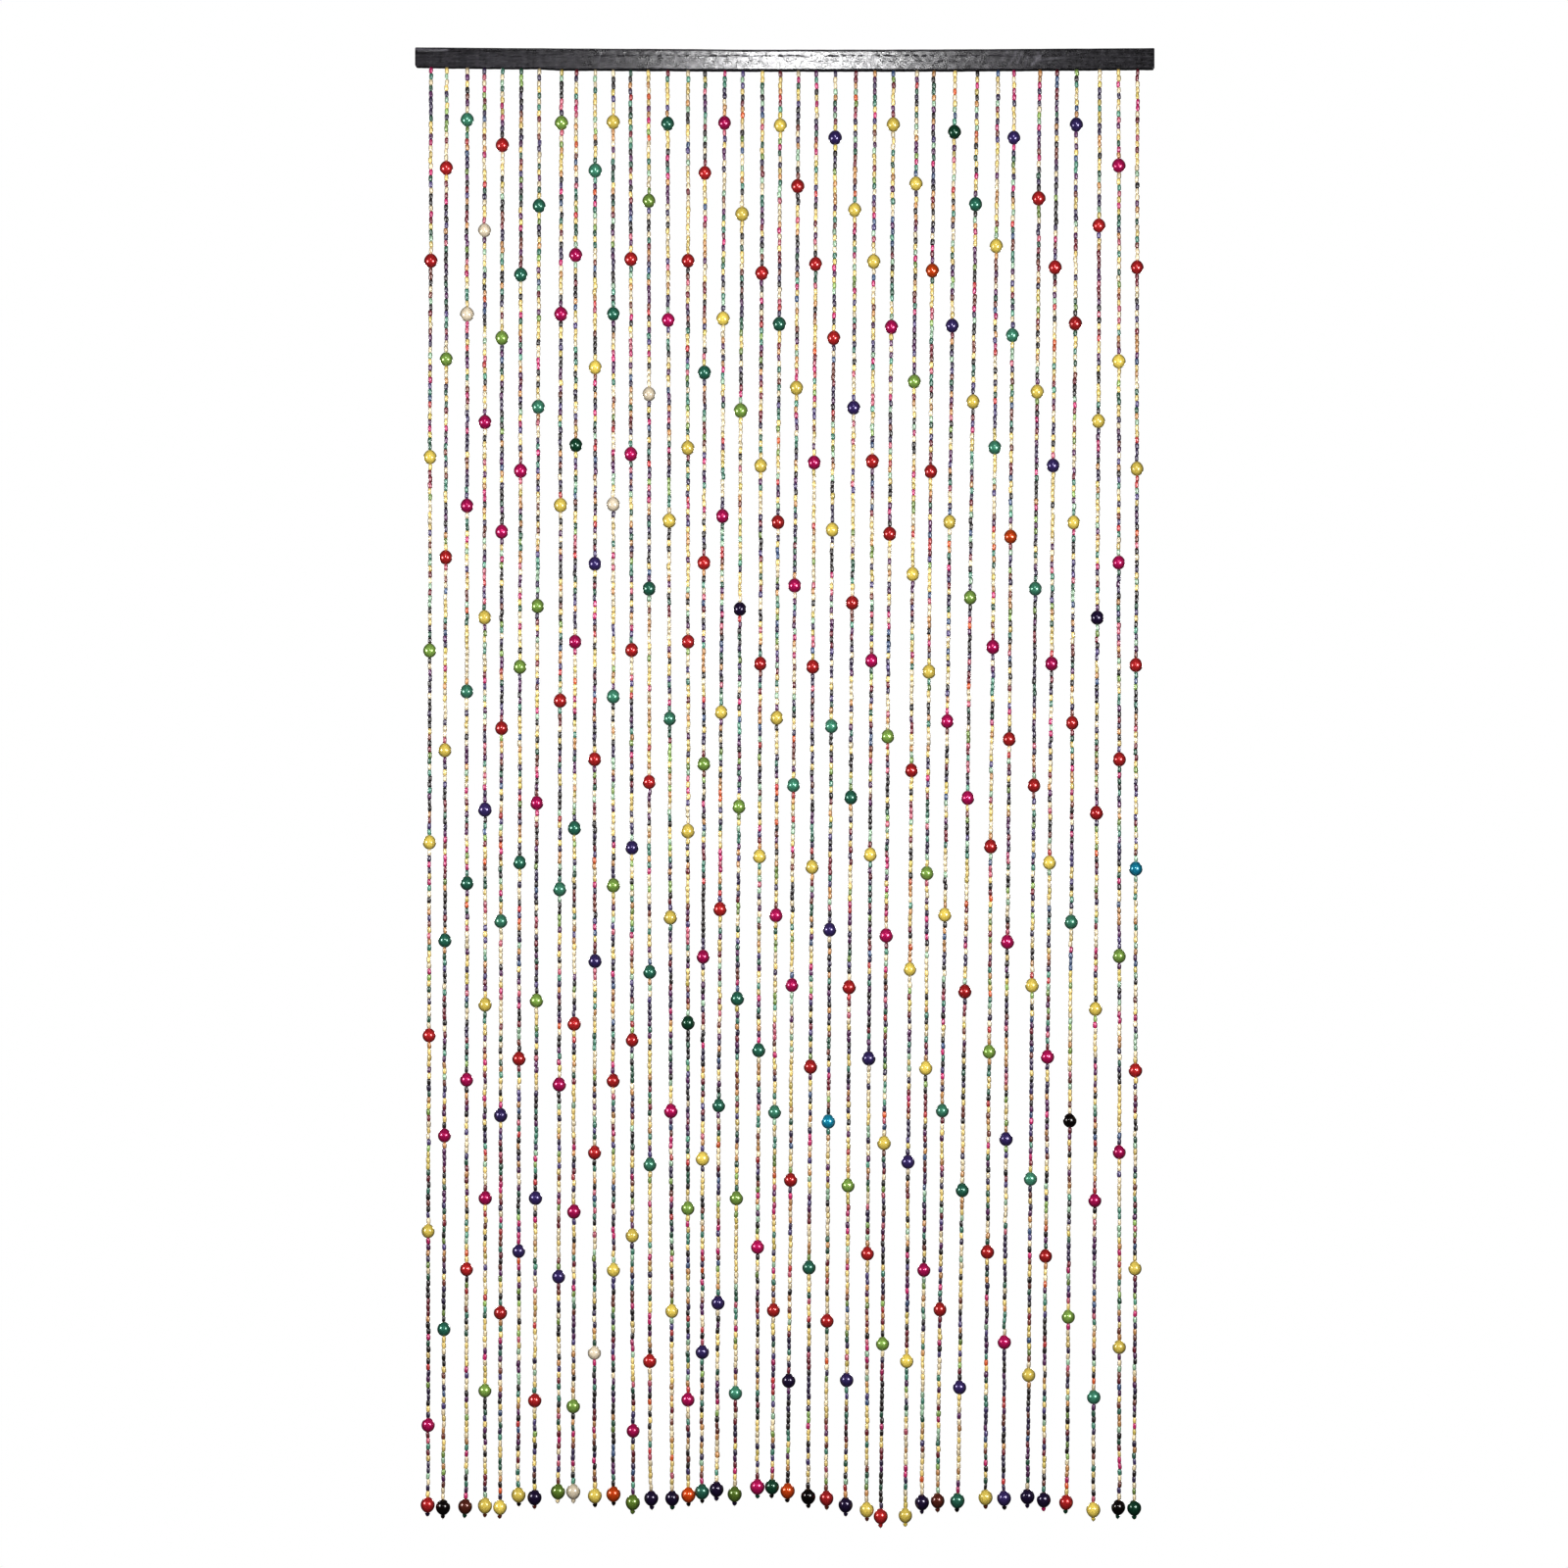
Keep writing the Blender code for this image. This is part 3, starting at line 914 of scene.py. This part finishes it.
def rail_stations():
    """How far along the rail each of its cuts is: close together at the rounded ends."""
    rounding = RAIL_EDGE_ROUND * (1 - np.cos(np.linspace(0, math.pi / 2, RAIL_EDGE_STEPS + 1)))
    count = round((RAIL_LENGTH - 2 * RAIL_EDGE_ROUND) / RAIL_STATION_GAP)
    between = np.linspace(RAIL_EDGE_ROUND, RAIL_LENGTH - RAIL_EDGE_ROUND, count)[1:-1]
    return np.concatenate([rounding, between, RAIL_LENGTH - rounding[::-1]])


def face_shares():
    """Where the points of a cut across the rail lie, going round it: the side that each belongs to, how
    far along that side it is, and how far round the corner before that side."""
    shares = []
    for side, steps in enumerate(SIDE_STEPS):
        for i in range(RAIL_EDGE_STEPS):
            shares.append((side, 0.0, i / RAIL_EDGE_STEPS))
        for i in range(steps):
            shares.append((side, i / steps, 1.0))
    return shares


def rail_outline(low, high, front, back, edge):
    """The points of a cut across the rail, as depth and height: up the front, back over the top, down the
    back and forward along the underside, with a rounded corner before each."""
    edges = (min(edge, LOWER_FRONT_ROUND), edge, edge, edge)
    corners = ((front, low), (front, high), (back, high), (back, low))
    inward = ((1, 1), (1, -1), (-1, -1), (-1, 1))
    centres = [np.array(c) + e * np.array(turn) for c, e, turn in zip(corners, edges, inward)]
    points = []
    rims = []
    for side, along, bend in face_shares():
        there = (side + 1) % 4
        angle = math.radians(180 - 90 * side + 90 * (1 - bend))
        out = np.array([math.cos(angle), math.sin(angle)])
        begin = centres[side] + edges[side] * out
        end = centres[there] + edges[there] * out
        points.append(begin + (end - begin) * along)
        beside = BESIDE_EDGE_RIM if along == 0 else 0.0
        rims.append(1.0 if bend < 1 else beside)
    return np.array(points), rims


def rail_cut_points(stations, rng):
    """Every cut's points and rims, with the unevenness that planing by hand leaves."""
    low, high = cut_heights(stations)
    low = low + UNDERSIDE_BUMPS * slow_waves(stations, UNDERSIDE_BUMP_LENGTHS, rng)
    high = high + TOP_BUMPS * slow_waves(stations, TOP_BUMP_LENGTHS, rng)
    waves = FACE_WAVES * slow_waves(stations, FACE_WAVE_LENGTHS, rng)
    ends = np.minimum(stations, RAIL_LENGTH - stations)
    into_end = (RAIL_EDGE_ROUND - ends).clip(0)
    inset = RAIL_EDGE_ROUND - np.sqrt(np.clip(RAIL_EDGE_ROUND**2 - into_end**2, 0, None))
    corner = (LOWER_LEFT_CORNER - stations).clip(0)
    lifted = LOWER_LEFT_CORNER - np.sqrt(LOWER_LEFT_CORNER**2 - corner**2)
    rings = []
    for i, along in enumerate(stations):
        pulled = inset[i]
        edge = max(RAIL_EDGE_ROUND - pulled, LEAST_EDGE_ROUND)
        underside = low[i] + pulled + lifted[i] * LOWER_LEFT_LIFT
        outline, rims = rail_outline(underside, high[i] - pulled, -RAIL_DEPTH + pulled, -pulled, edge)
        planed = PLANED_SLOPE * (1 - (along / PLANED_LENGTH) ** 3) if along < PLANED_LENGTH else 0
        above = (outline[:, 1] - high[i] + PLANED_HEIGHT).clip(0)
        in_front = outline[:, 0] < -RAIL_DEPTH / 2
        rippled = waves[i] * np.cos(outline[:, 1] / FACE_WAVE_HEIGHT)
        outline[:, 0] += in_front * (planed * above - rippled)
        rings.append(np.column_stack([np.full(len(outline), rail_x(along)), outline]))
    return np.array(rings), np.array(rims)


def scuffs_and_glints(points):
    """How much brighter the paint is at these points of the rail's front: scuffs, and painted highlights."""
    flat = np.stack([points[:, 0] / MM + RAIL_LENGTH / MM / 2, points[:, 2] / MM], -1)
    total = np.zeros(len(points))
    for stroke in SCUFFS_AND_GLINTS:
        start, stop = np.array(stroke.start, float), np.array(stroke.stop, float)
        run = stop - start
        share = np.clip((flat - start) @ run / (run @ run), 0, 1)
        off = np.linalg.norm(flat - start - share[:, None] * run, axis=1)
        total = np.maximum(total, stroke.brighter * np.clip(STROKE_REACH - off / stroke.width, 0, 1))
    return total * (points[:, 1] < -RAIL_DEPTH * STROKE_FRONT)


def paint_tone(rings, rng):
    """How much brighter than its own colour the paint is at each point of the rail: thin streaks across it
    that the saw left, mottles where the brush took unevenly, the scuffs, and the painted highlights."""
    count, sides = rings.shape[:2]
    streaks = SAWN_STREAKS * rng.normal(0, 1, (count, 1))
    mottles = MOTTLES * rng.normal(0, 1, (count, sides))
    return scuffs_and_glints(rings.reshape(-1, 3)) + (streaks + mottles).ravel()


def add_rail():
    rng = np.random.default_rng(RAIL_SEED)
    stations = rail_stations()
    rings, rims = rail_cut_points(stations, rng)
    count, sides = rings.shape[:2]
    faces = ring_faces(count, sides)[:-sides]
    section = RAIL_LENGTH / RAIL_MAP_ROWS
    row = np.minimum((stations[:-1] / section).astype(int), RAIL_MAP_ROWS - 1)
    left = (stations[:-1] - row * section) / section
    right = (stations[1:] - row * section) / section
    up = np.arange(sides) / sides
    corners = []
    for i in range(count - 1):
        base = row[i] / RAIL_MAP_ROWS
        for j in range(sides):
            lower = base + RAIL_MAP_ROW_HEIGHT * up[j]
            upper = base + RAIL_MAP_ROW_HEIGHT * (up[j] + 1 / sides)
            corners.append([(left[i], lower), (left[i], upper), (right[i], upper), (right[i], lower)])
    points = rings.reshape(-1, 3)
    part = Part(
        points,
        faces,
        np.zeros(len(faces)),
        RAIL_MAP_SHARE * np.array(corners).reshape(-1, 2),
        np.tile(rims, count),
        paint_tone(rings, rng),
        points[:, [1, 2, 0]],
    )
    mesh = mesh_of("rail_batten", [part], [brushed_black_paint()])
    add_piece("rail_batten", mesh, "rail")


# The camera, the light and the floor


def add_camera():
    """Level and square to the curtain, as in the photo, and as far off as its lens needs to frame it."""
    data = bpy.data.cameras.new("camera")
    data.lens = CAMERA_LENS
    data.sensor_width = CAMERA_SENSOR
    camera = bpy.data.objects.new("camera", data)
    bpy.context.scene.collection.objects.link(camera)
    distance = CAMERA_LENS / CAMERA_SENSOR * PHOTO_SIDE * PIXEL
    x = (PHOTO_SIDE / 2 - ORIGIN_PIXEL[0]) * PIXEL
    z = (ORIGIN_PIXEL[1] - PHOTO_SIDE / 2) * PIXEL
    camera.location = (x, -RAIL_DEPTH / 2 - distance, z)
    camera.rotation_euler = (math.pi / 2, 0, 0)
    bpy.context.scene.camera = camera
    return camera


# A square soft light: how far round from the front it stands, in degrees, its distance, height and side in
# metres, how bright its face is when white paper in full light is 1, how wide its beam is in degrees, the
# height it is aimed at, and whether it only fills the shade or only sparkles in the lacquer.
Softbox = namedtuple("Softbox", "name azimuth distance height side brightness beam target role")
SOFTBOXES = (
    Softbox("sparkle_left", -62, 2.65, -0.62, 1.05, 10, 180, -0.9, "sparkle"),
    Softbox("sparkle_right", 34, 2.65, -0.62, 1.2, 10.5, 180, -0.9, "sparkle"),
    Softbox("sparkle_upper", -2, 3.2, 1.5, 1.0, 14, 26, -0.2, "sparkle"),
    Softbox("fill_above", 4, 8.0, 5.1, 3.0, 9, 100, -1.77, "fill"),
    Softbox("fill_front", -4, 4.2, -0.3, 1.4, 52, 180, -0.9, "fill"),
    Softbox("sparkle_behind_left", 158, 4.2, -0.6, 0.8, 14, 180, -0.9, "sparkle"),
    Softbox("sparkle_behind_right", -158, 4.2, -0.6, 0.8, 14, 180, -0.9, "sparkle"),
    Softbox("fill_behind", 180, 4.2, -0.3, 1.4, 56, 180, -0.9, "fill"),
)


def add_softbox(box):
    data = bpy.data.lights.new(box.name, "AREA")
    data.shape = "SQUARE"
    data.size = box.side
    half = math.radians(box.beam) / 2
    narrowed = 1 - half / math.tan(half) if box.beam < 180 else 1
    data.energy = box.brightness * math.pi * box.side**2 * narrowed
    data.spread = 2 * half
    light = bpy.data.objects.new(box.name, data)
    bpy.context.scene.collection.objects.link(light)
    turn = math.radians(box.azimuth)
    light.location = (box.distance * math.sin(turn), -box.distance * math.cos(turn), box.height)
    down = math.atan2(box.target - box.height, box.distance)
    light.rotation_euler = (math.pi / 2 + down, 0, turn)
    light.visible_camera = False
    light.visible_glossy = box.role == "sparkle"
    light.visible_diffuse = box.role == "fill"


def add_rail_light(camera):
    """The light that the rail mirrors near its middle: it is as steep above the rail as the camera is below
    it."""
    data = bpy.data.lights.new("rail_light", "AREA")
    data.shape = "RECTANGLE"
    data.size = RAIL_LIGHT_SIDE
    data.size_y = RAIL_LIGHT_SIDE
    data.energy = RAIL_LIGHT_BRIGHTNESS * math.pi * data.size * data.size_y
    light = bpy.data.objects.new("rail_light", data)
    bpy.context.scene.collection.objects.link(light)
    rise = camera.location.z / camera.location.y
    light.location = (RAIL_LIGHT_X, -RAIL_LIGHT_DISTANCE, RAIL_LIGHT_DISTANCE * rise)
    light.rotation_euler = (math.pi / 2 - math.atan(rise), 0, 0)
    light.visible_camera = False
    light.visible_diffuse = False


def add_world():
    """A white backdrop that lights the scene more softly than it looks."""
    world = bpy.data.worlds.new("studio")
    bpy.context.scene.world = world
    world.use_nodes = True
    tree = world.node_tree
    dim = tree.nodes["Background"]
    dim.inputs["Color"].default_value = (*ROOM_LIGHT, 1)
    white = add_node(tree, "ShaderNodeBackground", {"Color": (1, 1, 1, 1)})
    mix = add_node(tree, "ShaderNodeMixShader")
    seen = add_node(tree, "ShaderNodeLightPath")
    tree.links.new(seen.outputs["Is Camera Ray"], mix.inputs[0])
    tree.links.new(dim.outputs[0], mix.inputs[1])
    tree.links.new(white.outputs[0], mix.inputs[2])
    tree.links.new(mix.outputs[0], tree.nodes["World Output"].inputs["Surface"])


def add_floor(lowest):
    """A plain floor that glows evenly. It ends soon enough behind the curtain that the level view doesn't
    reach it."""
    level = lowest - FLOOR_BELOW_TIPS
    half = FLOOR_WIDTH / 2
    corners = [
        (-half, -FLOOR_IN_FRONT, level),
        (half, -FLOOR_IN_FRONT, level),
        (half, FLOOR_BEHIND, level),
        (-half, FLOOR_BEHIND, level),
    ]
    mesh = bpy.data.meshes.new("floor")
    mesh.from_pydata(corners, [], [(0, 1, 2, 3)])
    material, _, shader = new_material("pale_floor")
    shader.inputs["Base Color"].default_value = (*FLOOR_COLOUR, 1)
    shader.inputs["Roughness"].default_value = FLOOR_ROUGHNESS
    shader.inputs["Specular IOR Level"].default_value = 0.0
    shader.inputs["Emission Color"].default_value = (1, 1, 1, 1)
    shader.inputs["Emission Strength"].default_value = FLOOR_GLOW
    mesh.materials.append(material)
    floor = bpy.data.objects.new("floor", mesh)
    bpy.context.scene.collection.objects.link(floor)
    floor.visible_glossy = False
    floor.visible_diffuse = False


def set_print_contrast():
    """Shows mid tones a little deeper, as the photo does. Black and white stay as they are."""
    view = bpy.context.scene.view_settings
    view.view_transform = "Standard"
    view.use_curve_mapping = True
    curve = view.curve_mapping.curves[3]
    for tone in PRINT_TONES:
        curve.points.new(tone, tone**PRINT_CONTRAST)
    view.curve_mapping.update()


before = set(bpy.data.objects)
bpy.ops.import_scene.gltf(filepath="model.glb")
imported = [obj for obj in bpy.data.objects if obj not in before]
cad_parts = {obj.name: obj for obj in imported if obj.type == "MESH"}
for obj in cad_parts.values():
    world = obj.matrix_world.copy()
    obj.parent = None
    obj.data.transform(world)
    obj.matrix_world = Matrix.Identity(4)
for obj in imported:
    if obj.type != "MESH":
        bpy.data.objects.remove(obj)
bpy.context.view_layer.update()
strings_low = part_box("strings")[0]
camera = add_camera()
add_world()
for softbox in SOFTBOXES:
    add_softbox(softbox)
add_rail_light(camera)
add_floor(strings_low.z)
add_rail()
add_strings()
set_print_contrast()
